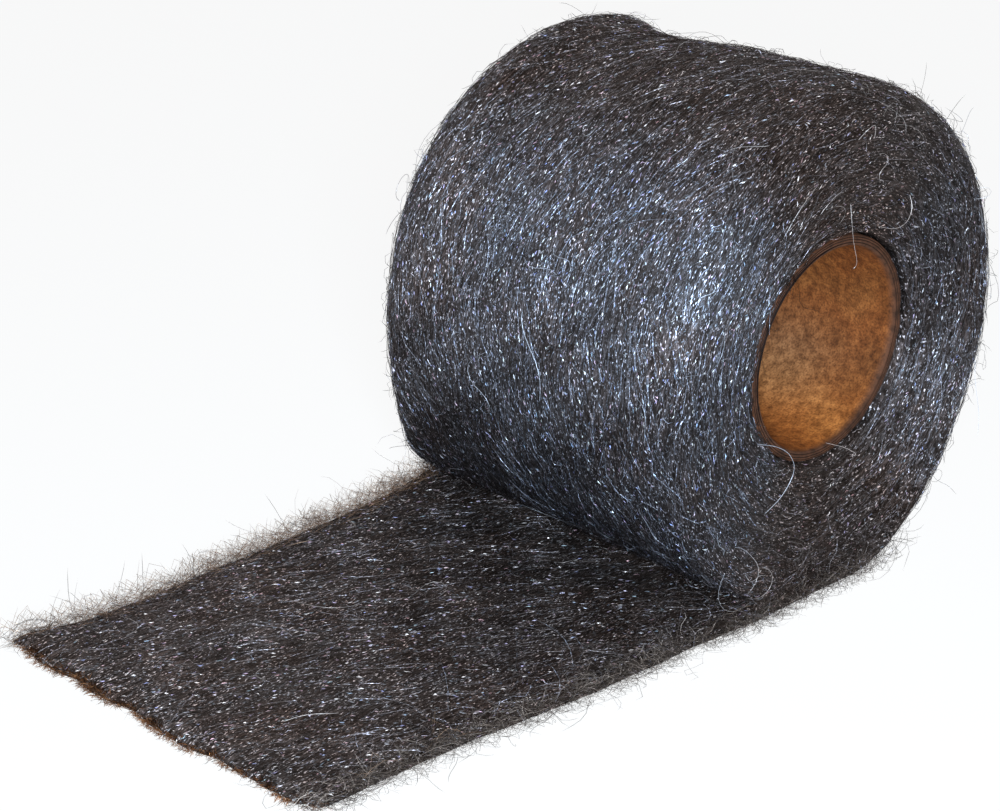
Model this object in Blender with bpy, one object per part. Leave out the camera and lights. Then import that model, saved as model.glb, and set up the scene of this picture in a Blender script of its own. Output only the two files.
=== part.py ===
"""Roll of steel wool, lying on its side with its outer turn run out flat on the bench.

Metres, +Z up. The origin is on the ground, under the middle of the tube's axis. The axis runs along Y,
the free end of the ribbon points to -X, and the more open end of the roll faces -Y.

The roll and its loose end are one continuous ribbon, so they are one solid. Each turn of the ribbon shows
on both ends of the roll as one raised band of a spiral, which starts where the loose end leaves the roll
and winds in to the cardboard tube.
"""
import math

import bmesh
import bpy
from mathutils import Vector, noise

# The ribbon of steel wool
RIBBON_WIDTH = 0.1016
RIBBON_THICKNESS = 0.0040
CUT_THICKNESS = 0.0026
TURN_PITCH = 0.0050

# The wound roll
ROLL_RADIUS = 0.0625
ROLL_SAG = 0.0012
NEAR_TUCK = 0.0020
FAR_TUCK = 0.0040
END_DISH = 0.0026
TURN_GROOVE = 0.0008
TURN_WANDER = 0.0005

# The rounded shoulders between the side of the roll and its ends: how far in, and how far along
NEAR_SHOULDER_DEPTH = 0.0120
NEAR_SHOULDER_LENGTH = 0.0070
FAR_SHOULDER_DEPTH = 0.0140
FAR_SHOULDER_LENGTH = 0.0120
SHOULDER_FULLNESS = 2.4

# The slack waist of the side, between the lobe at the far rim and the near shoulder
WAIST_DEPTH = 0.0028
WAIST_PLACE = 0.0300
LOBE_RUN = 0.0090
WAIST_RUN = 0.0450
LUMP_HEIGHT = 0.0006
LUMP_SIZE = 0.0240

# The loose end, from the roll's axis to the cut, and how far its corners drift along the axis
TAIL_REACH = 0.1610
NEAR_DRIFT = 0.0133
FAR_DRIFT = 0.0092
TAIL_PINCH = 0.0028

# How the outer turns bulge low on the near end, and spread on the far end where they leave the roll
NEAR_BULGE = 0.0028
BULGE_ANGLE = math.radians(-42)
FAR_SPREAD = 0.0145
SPREAD_DEPTH = 0.0120
EDGE_ROUND = 0.0010
CUT_WAVE = 0.0016

# The cardboard tube
TUBE_RADIUS = 0.0277
TUBE_WALL = 0.0024
TUBE_LENGTH = 0.0900
TUBE_CHAMFER = 0.0005
TUBE_CLEARANCE = 0.0003

# Facets
GROUND_COLUMNS = 6
ROUND_COLUMNS = 54
BAND_STEPS = (0.20, 0.80)
SHOULDER_STEPS = (math.radians(45), math.radians(20), 0.0)
SIDE_ROWS = 9
TAIL_STATIONS = 12
TUBE_SEGMENTS = 60

# Places worked out from the sizes above
AXIS_HEIGHT = ROLL_RADIUS - ROLL_SAG
WOOL_BORE = TUBE_RADIUS + TUBE_CLEARANCE
COLUMNS = GROUND_COLUMNS + ROUND_COLUMNS
CREASE_HEIGHT = AXIS_HEIGHT - RIBBON_THICKNESS
CREASE_ANGLE = 1.5 * math.pi - math.acos(CREASE_HEIGHT / ROLL_RADIUS)
LIFT_OFF_ANGLE = 1.5 * math.pi + math.acos(AXIS_HEIGHT / ROLL_RADIUS)
FULL_TURN = 2 * math.pi
TURNS = max(2, round((CREASE_HEIGHT - WOOL_BORE) / TURN_PITCH))
LAST_STEP = TURNS * COLUMNS


class RollEnd:
    """One end of the roll: which way it faces, how far out it lies, and how its shoulder is shaped."""

    def __init__(self, sign, tuck, shoulder_depth, shoulder_length):
        self.sign = sign
        self.reach = RIBBON_WIDTH / 2 - tuck
        self.shoulder_depth = shoulder_depth
        self.shoulder_length = shoulder_length


NEAR_END = RollEnd(-1, NEAR_TUCK, NEAR_SHOULDER_DEPTH, NEAR_SHOULDER_LENGTH)
FAR_END = RollEnd(1, FAR_TUCK, FAR_SHOULDER_DEPTH, FAR_SHOULDER_LENGTH)


def clamp(value):
    return max(0.0, min(1.0, value))


def ease(value):
    """Smooth step from 0 to 1."""
    value = clamp(value)
    return value * value * (3 - 2 * value)


def mix(start, end, share):
    return start + (end - start) * share


def column_angle(column):
    """Angle of a column round the axis, from the crease, under the roll and up its far side."""
    if column <= GROUND_COLUMNS:
        return mix(CREASE_ANGLE, LIFT_OFF_ANGLE, column / GROUND_COLUMNS)
    share = (column - GROUND_COLUMNS) / ROUND_COLUMNS
    return mix(LIFT_OFF_ANGLE, CREASE_ANGLE + FULL_TURN, share)


def outline_radius(column):
    """Distance from the axis to the ground under the roll, and to the roll's skin everywhere else."""
    if column <= GROUND_COLUMNS:
        return AXIS_HEIGHT / -math.sin(column_angle(column))
    return ROLL_RADIUS


def edge_spread(end, angle):
    """How far the outer turns stand past the roll's end: low on one side, or all along its underside."""
    if end is NEAR_END:
        return NEAR_BULGE * clamp(math.cos(angle - BULGE_ANGLE)) ** 1.5
    return FAR_SPREAD * clamp((0.35 - math.sin(angle)) / 1.35) ** 2.8


def flatness(column):
    """How far the shoulder is pressed square by the ground: 1 under the roll, 0 round its top."""
    if column <= GROUND_COLUMNS:
        return 1.0
    angle = column_angle(column)
    rising = ease(1 - (angle - LIFT_OFF_ANGLE) / math.radians(50))
    falling = 0.75 * ease(1 - (CREASE_ANGLE + FULL_TURN - angle) / math.radians(45))
    return max(rising, falling)


def skin_relief(column, y):
    """Waist, lobe and soft lumps of the roll's side, as a change of radius."""
    if column <= GROUND_COLUMNS:
        return 0.0
    angle = column_angle(column)
    run = LOBE_RUN if y > WAIST_PLACE else WAIST_RUN
    waist = 1 - ease(abs(y - WAIST_PLACE) / run)
    top = 0.4 + 0.6 * max(0.0, math.sin(angle))
    place = Vector((math.cos(angle) * ROLL_RADIUS, y, math.sin(angle) * ROLL_RADIUS)) / LUMP_SIZE
    fade = ease((column - GROUND_COLUMNS) / 6) * ease((COLUMNS - column) / 4)
    return fade * (LUMP_HEIGHT * noise.noise(place) - WAIST_DEPTH * waist * top)


def end_height(end, column, radius):
    """Height of the roll's end over its middle, at a radius: dished by the tube, rounded at the skin."""
    rim = outline_radius(column) + skin_relief(column, end.sign * end.reach)
    flat = flatness(column)
    depth = mix(end.shoulder_depth, EDGE_ROUND, flat)
    length = mix(end.shoulder_length, EDGE_ROUND, flat)
    inset = rim - radius
    rounding = 1 - clamp(inset / depth)
    drop = length * (1 - (1 - rounding**SHOULDER_FULLNESS) ** (1 / SHOULDER_FULLNESS))
    crown = rim - depth
    dish = END_DISH * ease((crown - radius) / (crown - WOOL_BORE))
    spread = edge_spread(end, column_angle(column)) * (1 - ease(inset / SPREAD_DEPTH))
    return end.reach + spread - drop - dish


def end_point(end, column, radius, slack=0.0):
    """Point on an end of the roll, set back by slack."""
    angle = column_angle(column)
    y = end.sign * (end_height(end, column, radius) - slack)
    return Vector((radius * math.cos(angle), y, AXIS_HEIGHT + radius * math.sin(angle)))


def shoulder_point(end, column, turn_in):
    """Point on the shoulder: turn_in is 0 on the side of the roll and a quarter turn on its end."""
    rim = outline_radius(column) + skin_relief(column, end.sign * end.reach)
    depth = mix(end.shoulder_depth, EDGE_ROUND, flatness(column))
    return end_point(end, column, rim - depth * (1 - math.cos(turn_in)))


def groove_radius(step):
    """Radius of the groove between two turns, counted in columns from the crease in to the tube."""
    turn, column = divmod(step, COLUMNS)
    angle = column_angle(column)
    if turn == 0 and angle < 1.5 * math.pi:
        return CREASE_HEIGHT / -math.sin(angle)
    wound = (angle + turn * FULL_TURN - 1.5 * math.pi) / FULL_TURN
    last = (CREASE_ANGLE - 1.5 * math.pi) / FULL_TURN + TURNS
    return mix(CREASE_HEIGHT, WOOL_BORE, wound / last)


def groove_depth(step):
    """The groove fades out at the crease and at the tube."""
    if step <= 0 or step >= LAST_STEP:
        return 0.0
    return TURN_GROOVE * ease(step / 4) * ease((LAST_STEP - step) / (COLUMNS / 3))


def turn_wander(end, step, share):
    """How far one turn stands in or out of its neighbours."""
    place = Vector((step / COLUMNS * 2.3, share * 0.4, 7.0 * end.sign))
    fade = ease((step + COLUMNS) / (COLUMNS / 4)) * ease((LAST_STEP - step) / COLUMNS)
    return TURN_WANDER * noise.noise(place) * fade


def make_end_lines(mesh, end):
    """Vertices of the spiral on one end: lines[k] is the outline for k < 0, then the groove, then the bore.

    Step numbers run from -COLUMNS, where the ribbon leaves the roll, to LAST_STEP, where it starts at the
    tube, and the bore's own circle follows.
    """
    lines = {}
    for column in range(COLUMNS + 1):
        lines[column - COLUMNS] = mesh.verts.new(shoulder_point(end, column, SHOULDER_STEPS[0]))
    for step in range(1, LAST_STEP + 1):
        column = step % COLUMNS
        lines[step] = mesh.verts.new(end_point(end, column, groove_radius(step), groove_depth(step)))
    for column in range(1, COLUMNS):
        lines[LAST_STEP + column] = mesh.verts.new(end_point(end, column, WOOL_BORE))
    lines[LAST_STEP + COLUMNS] = lines[LAST_STEP]
    return lines


def make_band_rows(mesh, end, lines):
    """Vertices of the raised bands, between each outer line and the line one turn further in."""
    rows = {}
    for step in range(-COLUMNS, LAST_STEP + 1):
        outer = lines[step]
        inner = lines[step + COLUMNS]
        column = step % COLUMNS
        if step == LAST_STEP:
            rows[step] = [outer] * len(BAND_STEPS)
            continue
        rows[step] = []
        outer_radius = math.hypot(outer.co.x, outer.co.z - AXIS_HEIGHT)
        inner_radius = math.hypot(inner.co.x, inner.co.z - AXIS_HEIGHT)
        for share in BAND_STEPS:
            radius = mix(outer_radius, inner_radius, share)
            place = COLUMNS if step == 0 else column
            slack = turn_wander(end, step, share)
            rows[step].append(mesh.verts.new(end_point(end, place, radius, slack)))
    return rows


def add_face(mesh, corners):
    """Face through the corners, without those that repeat."""
    kept = []
    for corner in corners:
        if corner not in kept:
            kept.append(corner)
    if len(kept) > 2:
        mesh.faces.new(kept)


def add_strip(mesh, first, second):
    """Faces between two rows of vertices of the same length."""
    for k in range(len(first) - 1):
        add_face(mesh, (first[k], first[k + 1], second[k + 1], second[k]))


def make_end(mesh, end):
    """One end of the roll, as one spiral strip. Gives its outline, bore and the ribbon's open edge."""
    lines = make_end_lines(mesh, end)
    rows = make_band_rows(mesh, end, lines)
    for step in range(-COLUMNS, LAST_STEP):
        here = [lines[step], *rows[step], lines[step + COLUMNS]]
        there = [lines[step + 1], *rows[step + 1], lines[step + 1 + COLUMNS]]
        add_strip(mesh, here, there)
    outline = [lines[column - COLUMNS] for column in range(COLUMNS + 1)]
    bore = [lines[LAST_STEP + column] for column in range(COLUMNS + 1)]
    return outline, bore, rows[-COLUMNS]


def make_side(mesh, near_outline, far_outline):
    """The roll's side, from the near shoulder to the far one. Gives one row of vertices a column."""
    columns = []
    for column in range(COLUMNS + 1):
        near_skin = shoulder_point(NEAR_END, column, SHOULDER_STEPS[-1])
        far_skin = shoulder_point(FAR_END, column, SHOULDER_STEPS[-1])
        angle = column_angle(column)
        row = [near_outline[column]]
        row.append(mesh.verts.new(shoulder_point(NEAR_END, column, SHOULDER_STEPS[1])))
        row.append(mesh.verts.new(near_skin))
        for k in range(1, SIDE_ROWS + 1):
            y = mix(near_skin.y, far_skin.y, k / (SIDE_ROWS + 1))
            radius = outline_radius(column) + skin_relief(column, y)
            height = AXIS_HEIGHT + radius * math.sin(angle)
            row.append(mesh.verts.new((radius * math.cos(angle), y, height)))
        row.append(mesh.verts.new(far_skin))
        row.append(mesh.verts.new(shoulder_point(FAR_END, column, SHOULDER_STEPS[1])))
        row.append(far_outline[column])
        columns.append(row)
    for column in range(COLUMNS):
        add_strip(mesh, columns[column], columns[column + 1])
    return columns


def ribbon_height(share, across):
    """Thickness of the loose end: share is 0 at the roll and 1 at the cut, across is 0 to 1 over its width."""
    thick = mix(RIBBON_THICKNESS, CUT_THICKNESS, share ** 1.5)
    edge = min(across, 1 - across) * RIBBON_WIDTH
    rounded = 0.6 + 0.4 * math.sqrt(1 - (1 - clamp(edge / RIBBON_THICKNESS)) ** 2)
    place = Vector((share * TAIL_REACH, across * RIBBON_WIDTH, 0.3)) / LUMP_SIZE
    return thick * rounded + LUMP_HEIGHT * noise.noise(place) * ease(share * 5)


def cut_place(across):
    """How far the ragged cut lies from the roll's axis."""
    ripple = noise.noise(Vector((across * 9.0, 3.7, 0.0))) + 0.5 * noise.noise(Vector((across * 24.0, 9.1, 0.0)))
    return -TAIL_REACH + CUT_WAVE * ripple


def tail_point(start, share, across, level):
    """Point of the loose end: level is 0 on its underside and 1 on top. It leaves the roll at start."""
    cut_y = mix(NEAR_DRIFT - RIBBON_WIDTH / 2, FAR_DRIFT + RIBBON_WIDTH / 2, across)
    pinch = TAIL_PINCH * 4 * share * (1 - share) * (1 - 2 * across)
    y = mix(start.y, cut_y, share) + pinch
    x = mix(start.x, cut_place(across), share)
    z = ribbon_height(share, across) * level
    return Vector((x, y, mix(start.z, z, ease(share * 7))))


def make_tail(mesh, top, bottom, near_edge, far_edge):
    """The loose end, lofted from the open edge of the ribbon's outer turn to the ragged cut."""
    near_y = min(bottom[0].co.y, top[0].co.y)
    far_y = max(bottom[-1].co.y, top[-1].co.y)
    levels = [1.0] * len(top)
    levels += [1 - (k + 1) / (len(far_edge) + 1) for k in range(len(far_edge))]
    levels += [0.1] + [0.0] * (len(bottom) - 2) + [0.1]
    levels += [(k + 1) / (len(near_edge) + 1) for k in range(len(near_edge))]
    ring = [*top, *reversed(far_edge), *reversed(bottom), *near_edge]
    starts = [corner.co.copy() for corner in ring]
    shares = [clamp((start.y - near_y) / (far_y - near_y)) for start in starts]
    for station in range(1, TAIL_STATIONS + 1):
        share = station / TAIL_STATIONS
        following = []
        for start, across, level in zip(starts, shares, levels):
            following.append(mesh.verts.new(tail_point(start, share, across, level)))
        add_strip(mesh, [*ring, ring[0]], [*following, following[0]])
        ring = following
    cap_top = ring[:len(top)]
    cap_bottom = list(reversed(ring[len(top) + len(far_edge):len(top) + len(far_edge) + len(bottom)]))
    add_strip(mesh, cap_top, cap_bottom)
    add_face(mesh, (cap_top[-1], *ring[len(top):len(top) + len(far_edge)], cap_bottom[-1]))
    add_face(mesh, (cap_bottom[0], *ring[-len(near_edge):], cap_top[0]))


def make_wool(material):
    """The wound ribbon with its loose end, as one closed body."""
    mesh = bmesh.new()
    near_outline, near_bore, near_edge = make_end(mesh, NEAR_END)
    far_outline, far_bore, far_edge = make_end(mesh, FAR_END)
    add_strip(mesh, near_bore, far_bore)
    columns = make_side(mesh, near_outline, far_outline)
    make_tail(mesh, columns[COLUMNS], columns[0], near_edge, far_edge)
    bmesh.ops.recalc_face_normals(mesh, faces=mesh.faces[:])
    return add_object("steel_wool", mesh, material)


def make_tube(material):
    """The cardboard tube, turned about its axis, with its cut ends just broken."""
    inner = TUBE_RADIUS - TUBE_WALL
    end = TUBE_LENGTH / 2
    profile = []
    for y, side in ((-end, 1), (end, -1)):
        corners = [
            (inner, y + side * TUBE_CHAMFER),
            (inner + TUBE_CHAMFER, y),
            (TUBE_RADIUS - TUBE_CHAMFER, y),
            (TUBE_RADIUS, y + side * TUBE_CHAMFER),
        ]
        profile += corners if side > 0 else reversed(corners)
    mesh = bmesh.new()
    rings = []
    for segment in range(TUBE_SEGMENTS):
        angle = FULL_TURN * segment / TUBE_SEGMENTS
        ring = [mesh.verts.new((r * math.cos(angle), y, r * math.sin(angle))) for r, y in profile]
        rings.append([*ring, ring[0]])
    for segment in range(TUBE_SEGMENTS):
        add_strip(mesh, rings[segment], rings[(segment + 1) % TUBE_SEGMENTS])
    bmesh.ops.recalc_face_normals(mesh, faces=mesh.faces[:])
    tube = add_object("core_tube", mesh, material)
    tube.location = (0, 0, AXIS_HEIGHT)
    return tube


def add_object(name, mesh, material):
    """Object from an edited mesh, shaded smooth but for its real edges."""
    data = bpy.data.meshes.new(name)
    mesh.to_mesh(data)
    mesh.free()
    data.materials.append(material)
    data.shade_smooth()
    data.set_sharp_from_angle(angle=math.radians(40))
    made = bpy.data.objects.new(name, data)
    bpy.context.collection.objects.link(made)
    return made


def make_material(name, color, roughness, metallic):
    material = bpy.data.materials.new(name)
    material.use_nodes = True
    shader = material.node_tree.nodes["Principled BSDF"]
    shader.inputs["Base Color"].default_value = (*color, 1)
    shader.inputs["Roughness"].default_value = roughness
    shader.inputs["Metallic"].default_value = metallic
    return material


def clear_scene():
    for old in list(bpy.data.objects):
        bpy.data.objects.remove(old, do_unlink=True)


def main():
    clear_scene()
    make_wool(make_material("steel_wool", (0.085, 0.083, 0.085), 0.45, 0.85))
    make_tube(make_material("kraft_board", (0.27, 0.11, 0.042), 0.85, 0.0))


main()
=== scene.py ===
import math

import bmesh
import bpy
import numpy as np
from mathutils import Matrix, Vector, noise
from mathutils.bvhtree import BVHTree


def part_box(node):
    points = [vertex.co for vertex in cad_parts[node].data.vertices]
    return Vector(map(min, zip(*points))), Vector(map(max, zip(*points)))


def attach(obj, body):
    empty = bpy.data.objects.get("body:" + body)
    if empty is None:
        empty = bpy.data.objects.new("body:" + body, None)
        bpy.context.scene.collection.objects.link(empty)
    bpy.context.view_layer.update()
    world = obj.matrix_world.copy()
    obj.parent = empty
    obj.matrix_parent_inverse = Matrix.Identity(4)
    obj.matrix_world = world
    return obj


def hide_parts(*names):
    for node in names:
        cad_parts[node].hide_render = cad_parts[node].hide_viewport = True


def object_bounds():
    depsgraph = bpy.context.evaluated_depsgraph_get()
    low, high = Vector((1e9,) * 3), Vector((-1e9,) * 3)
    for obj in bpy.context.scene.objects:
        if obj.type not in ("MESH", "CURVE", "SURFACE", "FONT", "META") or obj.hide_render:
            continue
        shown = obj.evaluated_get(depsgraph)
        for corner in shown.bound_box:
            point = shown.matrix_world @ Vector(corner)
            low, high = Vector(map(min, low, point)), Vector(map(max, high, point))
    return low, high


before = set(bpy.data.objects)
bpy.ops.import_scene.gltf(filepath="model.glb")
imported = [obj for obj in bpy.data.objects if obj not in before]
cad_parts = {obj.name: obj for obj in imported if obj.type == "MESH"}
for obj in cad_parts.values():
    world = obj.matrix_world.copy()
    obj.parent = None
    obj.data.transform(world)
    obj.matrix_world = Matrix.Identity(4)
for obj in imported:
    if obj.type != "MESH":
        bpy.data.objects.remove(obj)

# A steel wool roll: a ribbon of fine steel fibres on a cardboard tube, with its loose end run out.
# Metres, +Z up. The tube's axis runs along Y, the loose end points to -X, and -Y is the near end.

CAD_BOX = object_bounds()
BODY = "root"

# Sizes of the roll, read from the frame
WOOL_LOW, WOOL_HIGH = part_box("steel_wool")
TUBE_LOW, TUBE_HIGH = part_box("core_tube")
AXIS_HEIGHT = (TUBE_LOW.z + TUBE_HIGH.z) / 2
TUBE_RADIUS = (TUBE_HIGH.z - TUBE_LOW.z) / 2
ROLL_RADIUS = WOOL_HIGH.x
TAIL_REACH = -WOOL_LOW.x

# Camera, at the photograph's angle
VIEW_AZIMUTH = math.radians(-47.3)
VIEW_ELEVATION = math.radians(23.9)
VIEW_ROLL = math.radians(1.62)
VIEW_DISTANCE = 0.7501
VIEW_TARGET = Vector((0.0207, 0.0795, 0.0))
LENS = 97.2
SENSOR_WIDTH = 36.0

# Stage: a white floor and surroundings, a cool key lamp beside the camera and a wide warm fill
FLOOR_REACH = 4.0
FLOOR_COLOUR = (0.93, 0.95, 0.96)
FLOOR_WHITE_SHARE = 0.92
SKY_COLOUR = (0.95, 0.97, 1.0)
SKY_STRENGTH = 0.06
LAMP_TARGET = Vector((0.0, 0.0, 0.05))
KEY_PLACE = Vector((-0.472, -0.416, 0.285))
KEY_SIZE = 0.12
KEY_POWER = 11.0
KEY_COLOUR = (0.72, 0.88, 1.0)
FILL_PLACE = Vector((-1.0, -0.6, 1.0))
FILL_SIZE = 1.2
FILL_POWER = 0.6
FILL_COLOUR = (1.0, 0.97, 0.94)

# Wool body under the fibres
BODY_INSET = 0.0002
BODY_ROUGH = 0.0003
BODY_LUMPS = 260
BODY_GRIT = 620
BODY_GRIT_SHARE = 0.6
FLOOR_GAP = 0.0002
CUT_ZONE = 0.012
SAME_SIDE = 0.4

# Where the wool is moved a little off the solid, to follow the photograph. Each pull is a centre, a radius
# and a shift: of the near edge, of the far corner, and of the dip beside the bulge. The near mouth is
# pushed towards the loose end, and its rim inwards by the dip.
CORNER_ROUND = 0.0075
PULLS = (
    ((-0.080, -0.042, 0.002), 0.026, (0.0, -0.0030, 0.0)),
    ((-0.158, 0.059, 0.001), 0.007, (0.001, 0.004, 0.0)),
    ((0.031, 0.0345, 0.1148), 0.006, (-0.0014, 0.0, -0.0024)),
)
MOUTH_PUSH = 0.0026
MOUTH_DIP = 0.0010
MOUTH_DEPTH = 0.020
MOUTH_START = 0.002
MOUTH_SPREAD = 0.016

# Winding direction: the fibres follow it, turned by these angles towards the near end
TAIL_TURN = math.radians(-18)
TOP_TURN = math.radians(-13)
FRONT_TURN = math.radians(8)
END_TURN = math.radians(4)
FRONT_FACING = (0.55, 1.0)
FRONT_RISE = (0.2, 0.6)
FLAT_END_FACING = (0.5, 0.9)
WINDING_STARTS = 0.004
WINDING_FULL = 0.012
RIPPLE_TURN = math.radians(9)
RIPPLE_WAVES = (210, 170, 190)
RIPPLE_SHIFT = 1.3

# Felt between the fibres: near-black, as painted shade of the gaps between them. Its streaks run slowly
# along the winding and fast across it, and its bright specks are painted glints
GRAIN_ALONG = 260
GRAIN_ACROSS = 2400
GRAIN_BLEND = 0.02
PAINTED_GLINT_STRETCH = (4.0, 4.0, 1.3)
PATCH_SCALE = 55.0
FELT_STREAKS = ((0.40, (0.012, 0.010, 0.009)), (0.53, (0.034, 0.028, 0.025)), (0.66, (0.11, 0.10, 0.10)))
FELT_PAINTED_GLINTS = ((0.60, (0.0, 0.0, 0.0)), (0.66, (0.13, 0.13, 0.14)), (0.74, (0.75, 0.76, 0.80)))
FELT_PATCHES = ((0.35, (1.05, 0.88, 0.82)), (0.65, (0.96, 0.96, 1.0)))

# Painted light on the steel, by place: a bluish, lighter tint where the sheen falls on the front of the
# roll, and a brownish, darker tint as painted shade elsewhere
PAINTED_LIGHT_TINT = ((0.0, (1.0, 0.90, 0.84)), (1.0, (1.0, 1.075, 1.19)))
PAINTED_LIGHT_FACING = (0.4, 0.8)
PAINTED_LIGHT_BACK = 0.6
PAINTED_LIGHT_FAR = (-0.010, 0.045)
PAINTED_LIGHT_FAR_LOSS = 0.5

# Steels: the colours that a thread's own shade picks from, its gleam, and how metallic and rough it is
OWN_SHADING = 0.26
SPIN_STEP = 0.5
WIRE_ANISOTROPY = 0.7
GLEAM_SCALE = 1400.0
# SPARKLE paints glints: bright bluish spots along the fibres, multiplied into their colour
SPARKLE = ((0.40, (0.50, 0.49, 0.49)), (0.54, (0.82, 0.81, 0.82)), (0.65, (2.5, 2.7, 3.1)))
PLAIN = ((0.30, (0.8, 0.8, 0.8)), (0.70, (1.1, 1.1, 1.1)))
FIBRE_SHADES = (
    (0.0, (0.027, 0.020, 0.017)),
    (0.60, (0.056, 0.044, 0.039)),
    (0.88, (0.14, 0.13, 0.13)),
    (1.0, (0.42, 0.42, 0.47)),
)
# The glints' colours, up to near white and tinted pink, blue, teal and violet, are painted glints
GLINT_SHADES = (
    (0.0, (0.072, 0.077, 0.088)),
    (0.50, (0.158, 0.169, 0.193)),
    (0.64, (0.37, 0.39, 0.45)),
    (0.72, (0.62, 0.42, 0.48)),
    (0.77, (0.32, 0.37, 0.68)),
    (0.81, (0.36, 0.50, 0.58)),
    (0.86, (0.50, 0.46, 0.72)),
    (0.92, (0.92, 0.94, 1.0)),
)
STRAND_SHADES = ((0.0, (0.16, 0.16, 0.165)), (1.0, (0.62, 0.62, 0.65)))
DOWN_SHADES = ((0.0, (0.05, 0.044, 0.040)), (0.7, (0.13, 0.115, 0.105)), (1.0, (0.42, 0.38, 0.36)))
# The brown of the far edge's down is a painted warm shadow
FAR_DOWN_PAINTED_SHADOW_SHADES = ((0.0, (0.16, 0.10, 0.065)), (1.0, (0.50, 0.38, 0.29)))
# The brown of the cut ends is a painted warm shadow
CUT_END_PAINTED_SHADOW_SHADES = ((0.0, (0.13, 0.050, 0.019)), (0.5, (0.21, 0.092, 0.041)), (1.0, (0.35, 0.19, 0.10)))
STEELS = {
    "steel_fibre": (FIBRE_SHADES, SPARKLE, 0.85, 0.62),
    "steel_glint": (GLINT_SHADES, PLAIN, 0.95, 0.53),
    "steel_strand": (STRAND_SHADES, PLAIN, 0.85, 0.6),
    "steel_down": (DOWN_SHADES, PLAIN, 0.85, 0.6),
    "far_down_painted_shadow": (FAR_DOWN_PAINTED_SHADOW_SHADES, PLAIN, 0.85, 0.6),
    "cut_ends_painted_shadow": (CUT_END_PAINTED_SHADOW_SHADES, PLAIN, 0.3, 0.45),
}

# Threads laid along the surface
COAT = {
    "shortest": 0.0014, "longest": 0.0042, "steps": (2, 1), "spread": math.radians(13),
    "sway": 0.0003, "lift": 0.0009, "width": 0.00011,
}
GLINTS = {
    "shortest": 0.00025, "longest": 0.0008, "steps": (1, 1), "spread": math.radians(24),
    "sway": 0.0001, "lift": 0.0006, "width": 0.00026,
}
SWAY_WAVES = (0.3, 1.3)
LIFT_POWER = 2
LIFT_JITTER = 0.14
LAID_WIDTHS = (0.65, 1.25)
CUT_MARGIN = 0.001

# Threads that stand off the surface
FUZZ = {
    "shortest": 0.0025, "longest": 0.0075, "stations": 4,
    "curl": 0.5, "waves": 1.4, "spread": 0.5, "bend": 0.9, "root": 0.5, "outward": False,
    "lowest": 0.0006, "highest": 0.0026, "free": 0.45, "rooted": 0.0002, "width": 0.00009,
}
FLYAWAYS = {
    "shortest": 0.008, "longest": 0.022, "stations": 9,
    "curl": 0.6, "waves": 1.6, "spread": 0.5, "bend": 1.2, "root": 0.5, "outward": False,
    "lowest": 0.0010, "highest": 0.0034, "free": 0.35, "rooted": 0.0003, "width": 0.00008,
}
FRINGE = {
    "shortest": 0.006, "longest": 0.022, "stations": 7,
    "curl": 0.7, "waves": 1.8, "spread": 0.35, "bend": 1.2, "root": 0.5, "outward": False,
    "lowest": 0.0004, "highest": 0.0050, "free": 0.25, "rooted": 0.0003, "width": 0.00008,
}
NEAR_DOWN = {
    "shortest": 0.003, "longest": 0.009, "stations": 5,
    "curl": 0.7, "waves": 1.4, "spread": 0.3, "bend": 0.7, "root": 0.5, "outward": False,
    "lowest": 0.0006, "highest": 0.0056, "free": 0.3, "rooted": 0.0002, "width": 0.00007,
}
FAR_DOWN = {
    "shortest": 0.004, "longest": 0.012, "stations": 5,
    "curl": 0.8, "waves": 1.4, "spread": 0.4, "bend": 0.8, "root": 0.5, "outward": False,
    "lowest": 0.0008, "highest": 0.0075, "free": 0.3, "rooted": 0.0002, "width": 0.00007,
}
CURLS = {
    "shortest": 0.008, "longest": 0.024, "stations": 12,
    "curl": 0.9, "waves": 1.5, "spread": 0.6, "bend": 1.8, "root": 0.5, "outward": False,
    "lowest": 0.0005, "highest": 0.0020, "free": 0.1, "rooted": 0.0002, "width": 0.00010,
}
CUT_ENDS = {
    "shortest": 0.0010, "longest": 0.0027, "stations": 4,
    "curl": 0.4, "waves": 1.0, "spread": 0.5, "bend": 0.6, "root": 0.35, "outward": True,
    "lowest": -0.0004, "highest": 0.0008, "free": 1.0, "rooted": 0.0002, "width": 0.00011,
}
FEWEST_WAVES = 0.3
LOOSE_LIFT_POWER = 1.6
FREE_RISE_POWER = 0.8
OUTWARD_SPREAD = 0.6
LOOSE_REACH = 0.009
LOOSE_WIDTHS = (0.7, 1.3)

# Places that the threads grow on, told by the height, x and normal of the wool's faces
BORE_MARGIN = 0.0012
UNDERSIDE_HEIGHT = 0.0006
UNDERSIDE_LOSS = 0.65
END_FACING = 0.6
EDGE_FACING = 0.35
EDGE_HEIGHT = 0.003
CUT_FACING = 0.5
EDGE_CUT_FACING = 0.7
FAR_EDGE_END = (-0.045, 0.0)
SIDE_CURLS = 0.25

# Kinds of thread, each with a seed, a count, its place, its look and its steel
LAID = {
    "fibres_side_a": (11, 9500, "side", COAT, "steel_fibre"),
    "fibres_side_b": (12, 9500, "side", COAT, "steel_fibre"),
    "fibres_ends": (13, 9500, "ends", COAT, "steel_fibre"),
    "fibres_tail": (14, 9200, "tail", COAT, "steel_fibre"),
    "glints": (15, 31000, "all over", GLINTS, "steel_glint"),
}
LOOSE = {
    "fuzz": (20, 7600, "all over", FUZZ, "steel_fibre"),
    "flyaways": (27, 420, "all over", FLYAWAYS, "steel_fibre"),
    "curls": (24, 170, "mostly ends", CURLS, "steel_strand"),
    "edge_fringe": (22, 1200, "both edges", FRINGE, "steel_fibre"),
    "near_down": (25, 2400, "near edge", NEAR_DOWN, "steel_down"),
    "far_down": (26, 2800, "far edge", FAR_DOWN, "far_down_painted_shadow"),
    "cut_fringe": (23, 2400, "cut", CUT_ENDS, "cut_ends_painted_shadow"),
}

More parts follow.
